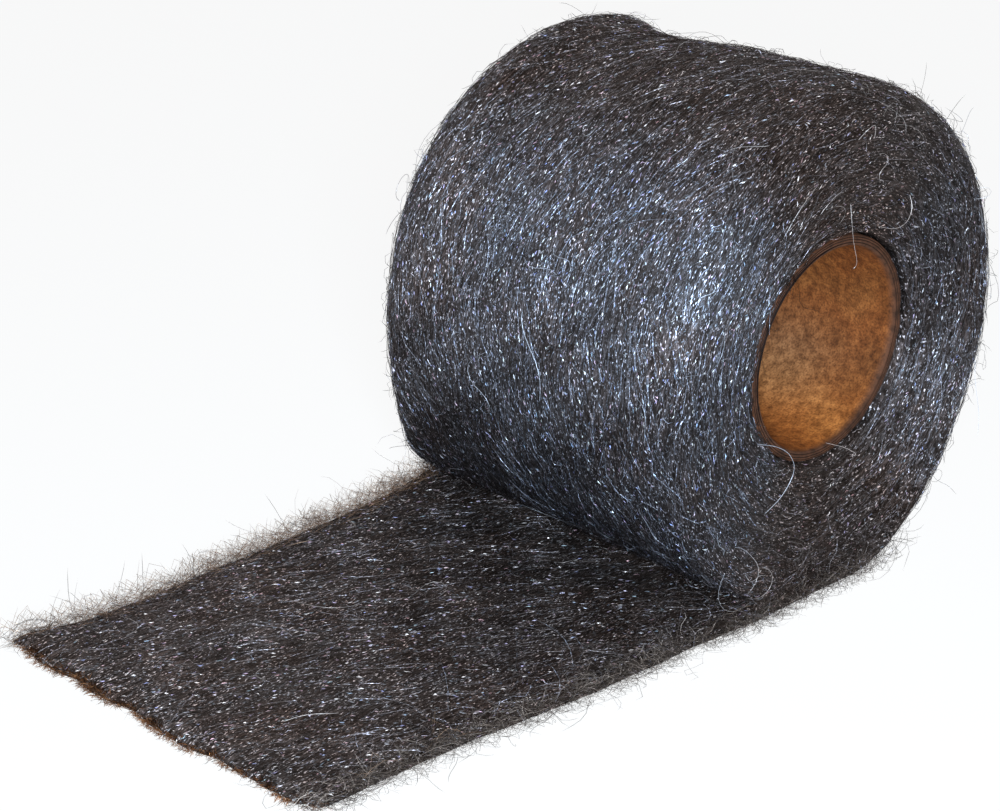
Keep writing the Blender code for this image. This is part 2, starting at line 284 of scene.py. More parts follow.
# Single strands at the near end, each a list of places to pass through
STRAND_SEED = 31
STRAND_WIDTH = 0.00012
STRAND_WIDTHS = (0.8, 1.2)
STRAND_SHADE_RANGE = (0.9, 1.0)
STRAND_STATIONS = 24
NEAR_STRANDS = (
    (
        (0.0162, -0.052, 0.0974), (0.0154, -0.0535, 0.0947), (0.0122, -0.0545, 0.0923),
        (0.0084, -0.054, 0.0915), (0.0047, -0.052, 0.0924),
    ),
    (
        (-0.0064, -0.0515, 0.1007), (-0.0073, -0.053, 0.0961), (-0.0067, -0.0535, 0.0916),
        (-0.0049, -0.0535, 0.0866), (-0.0025, -0.051, 0.0835),
    ),
    (
        (-0.0351, -0.0515, 0.0497), (-0.0310, -0.053, 0.0485), (-0.0270, -0.0535, 0.0462),
        (-0.0235, -0.053, 0.0430), (-0.0215, -0.0525, 0.0395), (-0.0222, -0.052, 0.0360),
        (-0.0252, -0.0515, 0.0325), (-0.0300, -0.051, 0.0300),
    ),
    (
        (-0.0079, -0.051, 0.0413), (-0.0033, -0.053, 0.0394), (0.0018, -0.053, 0.0362),
        (0.0041, -0.051, 0.0341),
    ),
    (
        (-0.0048, -0.051, 0.1150), (-0.0052, -0.0535, 0.1180), (-0.0030, -0.054, 0.1188),
        (0.0001, -0.052, 0.1146),
    ),
)

# Core tube: its wall, and the joints between its plies, which show as grooves in its near end
TUBE_WALL = 0.0024
TUBE_END_ROUND = 0.0004
TUBE_COLUMNS = 216
WALL_ROWS = 40
PLY_JOINTS = (0.22, 0.46, 0.76)
JOINT_WIDTH = 0.00016
JOINT_DEPTH = 0.0005
JOINT_LIP = 0.00008
JOINT_FOOT = 0.46
SPLIT_JOINT = 2
SPLIT_ANGLE = math.radians(148)
SPLIT_SPREAD = math.radians(50)
SPLIT_WIDTH = 0.00095
SPLIT_DEPTH = 0.0036
SPLIT_SPILL = 0.25
FRAY_SCALE = 6
FRAY_HEIGHT = 0.0003
WALL_ROUGH = 0.00010
WALL_LUMPS = 330
WALL_GRIT = 900
WALL_GRIT_SHARE = 0.5
SEAM_PITCH = 0.115
SEAM_STEP = 0.00014

# Board's colours: clouds, mottle and grit, painted light and shade by the height in the tube, a patch of
# painted sheen, painted shade deep in the joints, and stained ends
CLOUD_SCALE = 34.0
MOTTLE_SCALE = 420.0
GRIT_SCALE = 1900.0
BOARD_CLOUDS = ((0.36, (0.118, 0.037, 0.010)), (0.49, (0.168, 0.051, 0.0135)), (0.62, (0.198, 0.068, 0.020)))
BOARD_MOTTLE = ((0.34, (0.42, 0.36, 0.30)), (0.50, (0.98, 0.96, 0.94)), (0.66, (1.50, 1.60, 1.70)))
BOARD_GRIT = ((0.34, (0.40, 0.34, 0.30)), (0.48, (1.0, 1.0, 1.0)), (0.68, (1.5, 1.5, 1.5)))
MOTTLE_SHARE = 0.75
GRIT_SHARE = 0.6
# A paler, greyer patch of painted sheen
BOARD_PAINTED_SHEEN = ((0.3, (0.158, 0.064, 0.027)), (0.6, (0.200, 0.088, 0.040)))
BOARD_STAIN = ((0.35, (0.024, 0.009, 0.004)), (0.60, (0.066, 0.024, 0.011)))
# Painted shade deep in the joints
BOARD_JOINT_SHADE = ((0.0, (1.0, 1.0, 1.0)), (1.0, (0.10, 0.07, 0.06)))
# Painted light and shade inside the tube: lighter and oranger towards the bottom, darker towards the top
TUBE_PAINTED_LIGHT_TILT = math.radians(-5)
TUBE_PAINTED_LIGHT_AND_SHADE = (
    (0.0, (1.60, 1.50, 1.10)),
    (0.16, (1.12, 1.10, 0.93)),
    (0.29, (0.84, 0.84, 0.80)),
    (0.47, (0.86, 0.82, 0.72)),
    (0.64, (0.64, 0.61, 0.50)),
    (0.85, (0.74, 0.66, 0.50)),
)
# Where the patch of painted sheen lies on the inner wall
SHEEN_PATCH_ANGLE = math.radians(-46)
SHEEN_PATCH_SPREAD = math.radians(30)
SHEEN_PATCH_DEPTH = -0.016
SHEEN_PATCH_LENGTH = 0.015
STAIN_STARTS = 0.0002
STAIN_REACH = 0.0013


def ease(value, start, end):
    """0 before start, 1 after end, and smooth between them."""
    share = np.clip((value - start) / (end - start), 0.0, 1.0)
    return share * share * (3 - 2 * share)


def unit(vectors):
    """The vectors at length 1."""
    length = np.linalg.norm(vectors, axis=-1, keepdims=True)
    return vectors / np.maximum(length, 1e-12)


def dot(first, second):
    """The dot products of two lists of vectors, as a column."""
    return np.sum(first * second, axis=-1, keepdims=True)


def off_axis(points):
    """How far each point lies from the roll's axis."""
    return np.hypot(points[..., 0], points[..., 2] - AXIS_HEIGHT)


# Material nodes


def make_material(name, metallic, roughness, specular):
    """A material with a Principled BSDF, its node tree and that shader."""
    material = bpy.data.materials.new(name)
    material.use_nodes = True
    shader = material.node_tree.nodes["Principled BSDF"]
    shader.inputs["Metallic"].default_value = metallic
    shader.inputs["Roughness"].default_value = roughness
    shader.inputs["Specular IOR Level"].default_value = specular
    return material, material.node_tree, shader


def add_node(tree, kind, **settings):
    """A new node with its settings made."""
    node = tree.nodes.new(kind)
    for key, value in settings.items():
        setattr(node, key, value)
    return node


def read_layer(tree, name, output="Fac"):
    """What the mesh's layer of that name says."""
    return add_node(tree, "ShaderNodeAttribute", attribute_name=name).outputs[output]


def own_place(tree):
    """The place on the piece, in its own coordinates."""
    return add_node(tree, "ShaderNodeTexCoord").outputs["Object"]


def add_ramp(tree, factor, stops):
    """A colour ramp over factor, with stops of (position, linear colour)."""
    ramp = add_node(tree, "ShaderNodeValToRGB")
    elements = ramp.color_ramp.elements
    while len(elements) < len(stops):
        elements.new(0.5)
    for element, (position, colour) in zip(elements, stops):
        element.position = position
        element.color = (*colour, 1.0)
    tree.links.new(factor, ramp.inputs["Fac"])
    return ramp.outputs["Color"]


def add_noise(tree, vector, scale, detail, roughness=0.6):
    """Noise over vector, mostly between 0.3 and 0.7."""
    texture = add_node(tree, "ShaderNodeTexNoise")
    texture.inputs["Scale"].default_value = scale
    texture.inputs["Detail"].default_value = detail
    texture.inputs["Roughness"].default_value = roughness
    tree.links.new(vector, texture.inputs["Vector"])
    return texture.outputs["Fac"]


def mix_colours(tree, kind, factor, first, second):
    """Two colours mixed, with a factor that is a number or another node's output."""
    mix = add_node(tree, "ShaderNodeMix", data_type="RGBA", blend_type=kind)
    if isinstance(factor, float):
        mix.inputs["Factor"].default_value = factor
    else:
        tree.links.new(factor, mix.inputs["Factor"])
    tree.links.new(first, mix.inputs["A"])
    tree.links.new(second, mix.inputs["B"])
    return mix.outputs["Result"]


def add_bump(tree, shader, height, strength, distance):
    """A bump from height on the shader."""
    bump = add_node(tree, "ShaderNodeBump")
    bump.inputs["Strength"].default_value = strength
    bump.inputs["Distance"].default_value = distance
    tree.links.new(height, bump.inputs["Height"])
    tree.links.new(bump.outputs["Normal"], shader.inputs["Normal"])


def add_painted_light(tree, colour):
    """The colour made bluer or browner by painted light: a bluish sheen on the lit front of the roll, and a
    brownish painted shade elsewhere.
    """
    return mix_colours(tree, "MULTIPLY", 1.0, colour, add_ramp(tree, read_layer(tree, "painted_light"), PAINTED_LIGHT_TINT))


def draw_out_highlights(tree, shader):
    """Highlights drawn out across the fibres, as on fine wires that lie side by side."""
    tree.links.new(read_layer(tree, "across", "Vector"), shader.inputs["Tangent"])
    shader.inputs["Anisotropic"].default_value = WIRE_ANISOTROPY


def white_rays(tree):
    """1 for the rays that see plain white, from the camera and in reflections, and 0 for the others."""
    rays = add_node(tree, "ShaderNodeLightPath")
    seen = rays.outputs["Is Camera Ray"]
    for kind in ("Is Glossy Ray", "Is Transmission Ray"):
        either = add_node(tree, "ShaderNodeMath", operation="MAXIMUM")
        tree.links.new(seen, either.inputs[0])
        tree.links.new(rays.outputs[kind], either.inputs[1])
        seen = either.outputs[0]
    return seen


def link_mix(tree, factor, first, second, target):
    """Two shaders mixed, linked to the target's surface."""
    mix = add_node(tree, "ShaderNodeMixShader")
    tree.links.new(factor, mix.inputs["Fac"])
    tree.links.new(first, mix.inputs[1])
    tree.links.new(second, mix.inputs[2])
    tree.links.new(mix.outputs["Shader"], tree.nodes[target].inputs["Surface"])


# Materials


def fibre_material(name, shades, gleam, metallic, roughness):
    """Steel fibre, each thread in the colour that its own shade picks, with its gleam along it; a gleam with
    bright spots paints glints into the colour.
    """
    material, tree, shader = make_material(name, metallic, roughness, specular=0.1)
    draw_out_highlights(tree, shader)
    colour = add_ramp(tree, read_layer(tree, "shade"), shades)
    spots = add_noise(tree, own_place(tree), GLEAM_SCALE, detail=2.0)
    colour = mix_colours(tree, "MULTIPLY", 1.0, colour, add_ramp(tree, spots, gleam))
    # The tint paints light and shade by place: bluish sheen at the front, brownish shade elsewhere
    tree.links.new(add_painted_light(tree, colour), shader.inputs["Base Color"])
    return material


def felt_material():
    """The felt between the fibres: near-black as painted shade of the gaps between them, with fine streaks,
    and bright specks along the winding that are painted glints.
    """
    material, tree, shader = make_material("wool_felt", metallic=0.85, roughness=0.6, specular=0.1)
    draw_out_highlights(tree, shader)
    grain = read_layer(tree, "grain", "Vector")
    stretch = add_node(tree, "ShaderNodeVectorMath", operation="MULTIPLY")
    stretch.inputs[1].default_value = PAINTED_GLINT_STRETCH
    tree.links.new(grain, stretch.inputs[0])
    streaks = add_noise(tree, grain, scale=1.0, detail=3.0, roughness=0.7)
    specks = add_noise(tree, stretch.outputs["Vector"], scale=1.0, detail=1.0, roughness=0.5)
    patches = add_noise(tree, own_place(tree), PATCH_SCALE, detail=2.0)
    fine = add_ramp(tree, streaks, FELT_STREAKS)
    # Painted glints: bright specks added into the felt's colour
    bright = add_ramp(tree, specks, FELT_PAINTED_GLINTS)
    colour = mix_colours(tree, "ADD", 1.0, fine, bright)
    colour = mix_colours(tree, "MULTIPLY", 1.0, colour, add_ramp(tree, patches, FELT_PATCHES))
    # The tint paints light and shade by place: bluish sheen at the front, brownish shade elsewhere
    tree.links.new(add_painted_light(tree, colour), shader.inputs["Base Color"])
    add_bump(tree, shader, streaks, strength=0.6, distance=0.0004)
    return material


def board_material():
    """Kraft board: mottled brown, with darker specks and pale short paper fibres."""
    material, tree, shader = make_material("kraft_board", metallic=0.0, roughness=0.75, specular=0.15)
    place = own_place(tree)
    clouds = add_noise(tree, place, CLOUD_SCALE, detail=3.0)
    mottle = add_noise(tree, place, MOTTLE_SCALE, detail=4.0, roughness=0.65)
    grit = add_noise(tree, place, GRIT_SCALE, detail=2.0, roughness=0.5)
    colour = add_ramp(tree, clouds, BOARD_CLOUDS)
    # A paler patch of painted sheen
    pale = add_ramp(tree, clouds, BOARD_PAINTED_SHEEN)
    colour = mix_colours(tree, "MIX", read_layer(tree, "painted_sheen"), colour, pale)
    colour = mix_colours(tree, "MULTIPLY", MOTTLE_SHARE, colour, add_ramp(tree, mottle, BOARD_MOTTLE))
    colour = mix_colours(tree, "MULTIPLY", GRIT_SHARE, colour, add_ramp(tree, grit, BOARD_GRIT))
    # Painted light and shade by the height in the tube
    shade_by_height = add_ramp(tree, read_layer(tree, "painted_light_by_height"), TUBE_PAINTED_LIGHT_AND_SHADE)
    colour = mix_colours(tree, "MULTIPLY", 1.0, colour, shade_by_height)
    dark = add_ramp(tree, mottle, BOARD_STAIN)
    colour = mix_colours(tree, "MIX", read_layer(tree, "stain"), colour, dark)
    # Painted shade deep in the joints
    joint_shade_colour = add_ramp(tree, read_layer(tree, "joint"), BOARD_JOINT_SHADE)
    colour = mix_colours(tree, "MULTIPLY", 1.0, colour, joint_shade_colour)
    tree.links.new(colour, shader.inputs["Base Color"])
    add_bump(tree, shader, mottle, strength=0.5, distance=0.0003)
    return material


def floor_material():
    """A pale floor that the camera and reflections see part way to plain white."""
    material, tree, shader = make_material("white_floor", metallic=0.0, roughness=0.9, specular=0.0)
    shader.inputs["Base Color"].default_value = (*FLOOR_COLOUR, 1.0)
    glow = add_node(tree, "ShaderNodeEmission")
    glow.inputs["Strength"].default_value = 1.0
    part = add_node(tree, "ShaderNodeMath", operation="MULTIPLY")
    part.inputs[1].default_value = FLOOR_WHITE_SHARE
    tree.links.new(white_rays(tree), part.inputs[0])
    link_mix(tree, part.outputs[0], shader.outputs["BSDF"], glow.outputs["Emission"], "Material Output")
    return material


# Meshes


def mesh_points(mesh):
    """The mesh's points and the normals there."""
    count = len(mesh.vertices)
    points = np.empty(count * 3, np.float32)
    mesh.vertices.foreach_get("co", points)
    normals = np.empty(count * 3, np.float32)
    mesh.vertex_normals.foreach_get("vector", normals)
    return points.reshape(-1, 3).astype(float), normals.reshape(-1, 3).astype(float)


def write_numbers(mesh, name, values):
    """A layer on the mesh with a number for each point."""
    layer = mesh.attributes.new(name, "FLOAT", "POINT")
    layer.data.foreach_set("value", values.astype(np.float32).ravel())


def write_vectors(mesh, name, values):
    """A layer on the mesh with a vector for each point."""
    layer = mesh.attributes.new(name, "FLOAT_VECTOR", "POINT")
    layer.data.foreach_set("vector", values.astype(np.float32).ravel())


def link_piece(name, mesh, material):
    """A piece of the roll, riding on its one body."""
    piece = bpy.data.objects.new(name, mesh)
    bpy.context.scene.collection.objects.link(piece)
    mesh.materials.clear()
    mesh.materials.append(material)
    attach(piece, BODY)
    return piece


# Winding


def tail_share(points):
    """1 on the loose end and the underside, 0 on the wound part above them."""
    return 1 - ease(points[:, 2], WINDING_STARTS, WINDING_FULL)


def winding(points, normals, turn):
    """Directions on the surface along the winding, each turned by its angle towards the near end."""
    x, height = points[:, 0], points[:, 2] - AXIS_HEIGHT
    radius = np.maximum(off_axis(points), 1e-6)
    round_axis = np.stack([-height / radius, np.zeros_like(x), x / radius], axis=1)
    straight = np.array([[1.0, 0.0, 0.0]])
    share = tail_share(points)[:, None]
    along = straight * share + round_axis * (1 - share)
    along = unit(along - normals * dot(along, normals))
    across = np.cross(normals, along)
    turn = np.asarray(turn)[:, None]
    return along * np.cos(turn) + across * np.sin(turn)


def usual_turn(points, normals):
    """How far the fibres lie off the winding direction there."""
    angle = np.arctan2(points[:, 2] - AXIS_HEIGHT, points[:, 0])
    front = ease(-np.cos(angle), *FRONT_FACING) * (1 - ease(np.sin(angle), *FRONT_RISE))
    side = TOP_TURN * (1 - front) + FRONT_TURN * front
    flat_end = ease(np.abs(normals[:, 1]), *FLAT_END_FACING)
    wound = side * (1 - flat_end) + END_TURN * flat_end
    share = tail_share(points)
    x_waves, y_waves, z_waves = RIPPLE_WAVES
    ripple = np.sin(points[:, 0] * x_waves + RIPPLE_SHIFT)
    ripple *= np.sin(points[:, 1] * y_waves + points[:, 2] * z_waves)
    return wound * (1 - share) + TAIL_TURN * share + RIPPLE_TURN * ripple


def painted_light_share(points):
    """How much painted light the steel has, as a bluish sheen: 1 at the front of the roll, less at its back
    and far side, and 0 elsewhere, where it takes the brownish painted shade.
    """
    ahead = -points[..., 0] / np.maximum(off_axis(points), 1e-6)
    round_roll = ease(ahead, *PAINTED_LIGHT_FACING) + PAINTED_LIGHT_BACK * ease(-ahead, *PAINTED_LIGHT_FACING)
    wound = ease(points[..., 2], WINDING_STARTS, WINDING_FULL)
    return round_roll * wound * (1 - PAINTED_LIGHT_FAR_LOSS * ease(points[..., 1], *PAINTED_LIGHT_FAR))


# The wool's body


def round_corner(points):
    """Rounds the near corner of the loose end, seen from above."""
    tip = points[:, 2] < WINDING_STARTS
    tip &= points[:, 0] < CUT_ZONE - TAIL_REACH
    near_edge = points[tip, 1].min()
    cut = points[tip & (points[:, 1] < near_edge + CORNER_ROUND), 0].min()
    middle = np.array([cut, near_edge]) + CORNER_ROUND
    off = points[:, :2] - middle
    corner = tip & (off < 0).all(axis=1)
    off = off[corner]
    share = np.abs(off).max(axis=1) / np.maximum(np.hypot(off[:, 0], off[:, 1]), 1e-9)
    points[corner, :2] = middle + off * share[:, None]


def pull_places(points):
    """Moves the points round each pull's centre by its shift, less and less with the distance."""
    for centre, radius, shift in PULLS:
        off = np.linalg.norm(points - np.array(centre), axis=1) / radius
        points += np.exp(-(off**2) / 2)[:, None] * np.array(shift)


def push_mouth(points, dip):
    """Pushes the roll's near mouth out towards the loose end, and its rim inwards there by dip."""
    radius = np.maximum(off_axis(points), 1e-6)
    share = 0.5 - 0.5 * points[:, 0] / radius
    share *= 1 - ease(points[:, 1], WOOL_LOW.y, WOOL_LOW.y + MOUTH_DEPTH)
    share *= 1 - ease(radius, TUBE_RADIUS + MOUTH_START, TUBE_RADIUS + MOUTH_SPREAD)
    points[:, 0] -= MOUTH_PUSH * share
    points[:, 1] += dip * share


def subdivided(mesh):
    """The mesh with its faces split once and rounded."""
    holder = bpy.data.objects.new("holder", mesh)
    bpy.context.scene.collection.objects.link(holder)
    holder.modifiers.new("finer", "SUBSURF").levels = 1
    bpy.context.view_layer.update()
    finer = bpy.data.meshes.new_from_object(holder.evaluated_get(bpy.context.evaluated_depsgraph_get()))
    bpy.data.objects.remove(holder)
    return finer


def body_mesh():
    """The ribbon's solid with its faces split, softly uneven and moved in places."""
    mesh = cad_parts["steel_wool"].data.copy()
    work = bmesh.new()
    work.from_mesh(mesh)
    bmesh.ops.remove_doubles(work, verts=work.verts, dist=1e-6)
    bmesh.ops.triangulate(work, faces=work.faces)
    work.to_mesh(mesh)
    work.free()
    finer = subdivided(mesh)
    points, normals = mesh_points(finer)
    places = [Vector(point) for point in points]
    lumps = np.array([noise.noise(place * BODY_LUMPS) for place in places])
    grit = np.array([noise.noise(place * BODY_GRIT) for place in places])
    rough = lumps + BODY_GRIT_SHARE * grit
    points += normals * (rough * BODY_ROUGH - BODY_INSET)[:, None]
    points[:, 2] = np.maximum(points[:, 2], FLOOR_GAP)
    round_corner(points)
    pull_places(points)
    push_mouth(points, MOUTH_DIP)
    finer.vertices.foreach_set("co", points.astype(np.float32).ravel())
    finer.update()
    return finer


def paint_body(mesh):
    """Layers for the felt: coordinates for its streaks, the direction across the fibres and the share of
    painted light.
    """
    points, normals = mesh_points(mesh)
    end_side = np.tanh(points[:, 1] / GRAIN_BLEND)
    across = points[:, 1] + (ROLL_RADIUS - off_axis(points)) * end_side * (1 - tail_share(points))
    slow = points[:, [0, 2]] * GRAIN_ALONG
    write_vectors(mesh, "grain", np.column_stack([slow, across * GRAIN_ACROSS]))
    write_vectors(mesh, "across", np.cross(normals, winding(points, normals, usual_turn(points, normals))))
    # The share of painted light: bluish sheen at the lit front, brownish shade elsewhere
    write_numbers(mesh, "painted_light", painted_light_share(points))


class Surface:
    """The wool's surface, to pick places on and to lay fibres over."""

    def __init__(self, mesh):
        mesh.calc_loop_triangles()
        self.points, _ = mesh_points(mesh)
        self.faces = np.array([t.vertices for t in mesh.loop_triangles])
        corners = self.points[self.faces]
        cross = np.cross(corners[:, 1] - corners[:, 0], corners[:, 2] - corners[:, 0])
        self.areas = np.linalg.norm(cross, axis=1) / 2
        self.normals = unit(cross)
        self.centres = corners.mean(axis=1)
        self.tree = BVHTree.FromPolygons(self.points.tolist(), self.faces.tolist())

    def pick(self, rng, count, weights):
        """Random places where weights, one for each face, allow them, and the normals there."""
        odds = self.areas * weights
        chosen = rng.choice(len(self.faces), size=count, p=odds / odds.sum())
        first, second = np.sqrt(rng.random(count)), rng.random(count)
        shares = np.stack([1 - first, first * (1 - second), first * second], axis=1)
        return np.einsum("nk,nkd->nd", shares, self.points[self.faces[chosen]]), self.normals[chosen]

    def nearest(self, points, normals):
        """Each point brought back to the surface, with the normal there, unless that faces elsewhere."""
        new_points, new_normals = points.copy(), normals.copy()
        for i, point in enumerate(points.tolist()):
            place, normal, _, _ = self.tree.find_nearest(point)
            if normal.dot(Vector(normals[i])) > SAME_SIDE:
                new_points[i] = place
                new_normals[i] = normal
        return new_points, new_normals


def wool_places(surface):
    """Weights for the surface's faces, by the name of the place that they pick out."""
    x, height = surface.centres[:, 0], surface.centres[:, 2]
    facing_x, facing_y = surface.normals[:, 0], surface.normals[:, 1]
    outside = (off_axis(surface.centres) > TUBE_RADIUS + BORE_MARGIN).astype(float)
    all_over = outside * (1 - UNDERSIDE_LOSS * (height < UNDERSIDE_HEIGHT))
    on_tail = tail_share(surface.centres) > 0.5
    facing_end = np.abs(facing_y) > END_FACING
    edges = on_tail * (np.abs(facing_y) > EDGE_FACING) * (facing_x > -EDGE_CUT_FACING)
    return {
        "all over": all_over,
        "side": all_over * ~on_tail * ~facing_end,
        "ends": all_over * ~on_tail * facing_end,
        "mostly ends": all_over * (SIDE_CURLS + facing_end),
        "tail": all_over * on_tail,
        "both edges": edges,
        "near edge": edges * (height < EDGE_HEIGHT) * (facing_y < 0),
        "far edge": edges * (1 - ease(x, *FAR_EDGE_END)) * (facing_y > 0),
        "cut": (x < CUT_ZONE - TAIL_REACH) * (facing_x < -CUT_FACING),
    }


# Threads


def thread_faces(rings):
    """The faces of one three-sided thread with a point at each end and rings between them."""
    last = 1 + 3 * rings
    faces = [(0, 1 + (k + 1) % 3, 1 + k) for k in range(3)]
    for i in range(rings - 1):
        a, b = 1 + 3 * i, 4 + 3 * i
        faces += [(a + k, a + (k + 1) % 3, b + (k + 1) % 3, b + k) for k in range(3)]
    faces += [(last - 3 + k, last - 3 + (k + 1) % 3, last) for k in range(3)]
    return faces


def thread_mesh(name, rng, paths, outs, widths, shades):
    """Closed three-sided threads along the paths, each drawn out to a point at both ends.

    They are shaded partly as the wool that they lie on, which outs gives.
    """
    count, stations, _ = paths.shape
    rings = stations - 2
    tangents = unit(paths[:, 2:] - paths[:, :-2])
    helper = unit(rng.normal(size=(count, 1, 3)))
    side = unit(np.cross(tangents, helper))
    up = np.cross(tangents, side)
    spin = rng.random((count, 1)) * 2 * math.pi + rng.normal(0, SPIN_STEP, (count, rings)).cumsum(axis=1)
    corners = []
    for k in range(3):
        angle = (spin + k * 2 * math.pi / 3)[..., None]
        corners.append(side * np.cos(angle) + up * np.sin(angle))
    corners = np.stack(corners, axis=2)
    ring = corners * (widths / 2)[:, None, None, None] + paths[:, 1:-1, None, :]
    facing = unit(corners * OWN_SHADING + outs[:, 1:-1, None, :] * (1 - OWN_SHADING))
    facing = np.concatenate([outs[:, :1], facing.reshape(count, rings * 3, 3), outs[:, -1:]], axis=1)
    points = np.concatenate([paths[:, :1], ring.reshape(count, rings * 3, 3), paths[:, -1:]], axis=1)
    points[..., 2] = np.maximum(points[..., 2], FLOOR_GAP / 2)
    across = np.repeat(unit(np.cross(outs[:, 1:-1], tangents)), 3, axis=1)
    across = np.concatenate([across[:, :1], across, across[:, -1:]], axis=1)

    faces = thread_faces(rings)
    size = points.shape[1]
    corners_of_one = np.array([corner for face in faces for corner in face])
    loops = (corners_of_one[None] + np.arange(count)[:, None] * size).ravel()
    lengths = np.tile([len(face) for face in faces], count)
    starts = np.concatenate([[0], lengths.cumsum()[:-1]])

    mesh = bpy.data.meshes.new(name)
    mesh.vertices.add(count * size)
    mesh.vertices.foreach_set("co", points.astype(np.float32).ravel())
    mesh.loops.add(len(loops))
    mesh.loops.foreach_set("vertex_index", loops.astype(np.int32))
    mesh.polygons.add(len(starts))
    mesh.polygons.foreach_set("loop_start", starts.astype(np.int32))
    mesh.update(calc_edges=True)
    write_numbers(mesh, "shade", np.repeat(shades, size))
    # The share of painted light: bluish sheen at the lit front, brownish shade elsewhere
    write_numbers(mesh, "painted_light", painted_light_share(points))
    write_vectors(mesh, "across", across)
    mesh.shade_smooth()
    mesh.normals_split_custom_set_from_vertices(facing.reshape(-1, 3))
    return mesh


def trace(surface, starts, normals, turns, step, steps):
    """Paths over the surface from their starts, some steps ahead and some back, and their normals."""
    halves = []
    for way, number in zip((1, -1), steps):
        points, facing, path, out = starts, normals, [], []
        for _ in range(number):
            heading = winding(points, facing, usual_turn(points, facing) + turns)
            points, facing = surface.nearest(points + heading * (way * step)[:, None], facing)
            path.append(points)
            out.append(facing)
        halves.append((path, out))
    (ahead, ahead_out), (back, back_out) = halves
    paths = np.stack(back[::-1] + [starts] + ahead, axis=1)
    outs = np.stack(back_out[::-1] + [normals] + ahead_out, axis=1)
    return paths, outs


def curl(rng, paths, outs, sway, lift):
    """Bends the paths sideways and off the surface, each in its own way."""
    count, stations, _ = paths.shape
    tangents = unit(np.gradient(paths, axis=1))
    sides = np.cross(outs, tangents)
    share = np.linspace(0, 1, stations)[None, :]
    wave = np.sin(2 * math.pi * (share * rng.uniform(*SWAY_WAVES, (count, 1)) + rng.random((count, 1))))
    swing = wave * rng.normal(0, sway, (count, 1))
    rise = rng.uniform(0, 1, (count, 1)) ** LIFT_POWER * lift
    rise = rise + rng.normal(0, lift * LIFT_JITTER, (count, stations))
    return paths + sides * swing[..., None] + outs * rise[..., None]


def lay_fibres(name, surface, seed, count, weights, look, material):
    """A coat of fibres over the part of the wool that weights picks out."""
    rng = np.random.default_rng(seed)
    starts, normals = surface.pick(rng, count, weights)
    step = rng.uniform(look["shortest"], look["longest"], count)
    turns = rng.normal(0, look["spread"], count)
    paths, outs = trace(surface, starts, normals, turns, step, look["steps"])
    paths = curl(rng, paths, outs, look["sway"], look["lift"])
    paths[..., 0] = np.maximum(paths[..., 0], -TAIL_REACH - CUT_MARGIN)
    widths = rng.uniform(*LAID_WIDTHS, count) * look["width"]
    shades = rng.random(count)
    link_piece(name, thread_mesh(name, rng, paths, outs, widths, shades), material)


def loose_paths(rng, starts, outs, headings, look):
    """Curly paths that leave the surface and come back to it, or end in the air."""
    count, stations = len(starts), look["stations"]
    share = np.linspace(0, 1, stations)[None, :]
    length = rng.uniform(look["shortest"], look["longest"], (count, 1))
    swing = rng.normal(0, look["curl"], (count, 1))
    waves = share * rng.uniform(FEWEST_WAVES, look["waves"], (count, 1)) + rng.random((count, 1))
    angle = rng.normal(0, look["spread"], (count, 1)) + rng.normal(0, look["bend"], (count, 1)) * share
    angle = angle + swing * np.sin(2 * math.pi * waves)
    step = length / (stations - 1)
    ahead = np.cumsum(np.cos(angle) * step, axis=1) - length * look["root"]
    aside = np.cumsum(np.sin(angle) * step, axis=1)
    lift = rng.uniform(0, 1, (count, 1)) ** LOOSE_LIFT_POWER * (look["highest"] - look["lowest"])
    lift = lift + look["lowest"]
    free = rng.random((count, 1)) < look["free"]
    height = np.where(free, share**FREE_RISE_POWER, np.sin(math.pi * share)) * lift - look["rooted"]
    sides = np.cross(outs, headings)
    return (
        starts[:, None]
        + headings[:, None] * ahead[..., None]
        + sides[:, None] * aside[..., None]
        + outs[:, None] * height[..., None]
    )


def add_loose(name, surface, seed, count, weights, look, material):
    """Stray threads that stand off the part of the wool that weights picks out."""
    rng = np.random.default_rng(seed)
    starts, normals = surface.pick(rng, count, weights)
    headings = winding(starts, normals, usual_turn(starts, normals))
    headings *= rng.choice((-1, 1), count)[:, None]
    if look["outward"]:
        headings = unit(normals + headings * rng.normal(0, OUTWARD_SPREAD, count)[:, None])
        level = np.cross(np.array([[0.0, 0.0, 1.0]]), headings)
        normals = unit(np.cross(headings, level) + 1e-9)
    paths = loose_paths(rng, starts, normals, headings, look)
    low, high = np.array(CAD_BOX[0]) - LOOSE_REACH, np.array(CAD_BOX[1]) + LOOSE_REACH
    close = np.all((paths > low) & (paths < high), axis=(1, 2))
    in_bore = off_axis(paths) < TUBE_RADIUS
    kept = close & ~in_bore.any(axis=1)
    paths = paths[kept]
    outs = np.repeat(normals[kept][:, None], look["stations"], axis=1)
    widths = rng.uniform(*LOOSE_WIDTHS, len(paths)) * look["width"]
    shades = rng.random(len(paths))
    link_piece(name, thread_mesh(name, rng, paths, outs, widths, shades), material)


def smooth_line(places):
    """Points of a smooth curve through the places."""
    points = []
    for spot in np.linspace(0, len(places) - 1, STRAND_STATIONS):
        k = min(int(spot), len(places) - 2)
        part = spot - k
        before, after = places[max(k - 1, 0)], places[min(k + 2, len(places) - 1)]
        start, end = places[k], places[k + 1]
        lead, trail = (end - before) / 2, (after - start) / 2
        points.append(
            start * (1 + 2 * part) * (1 - part) ** 2
            + lead * part * (1 - part) ** 2
            + end * part**2 * (3 - 2 * part)
            + trail * part**2 * (part - 1)
        )
    return points


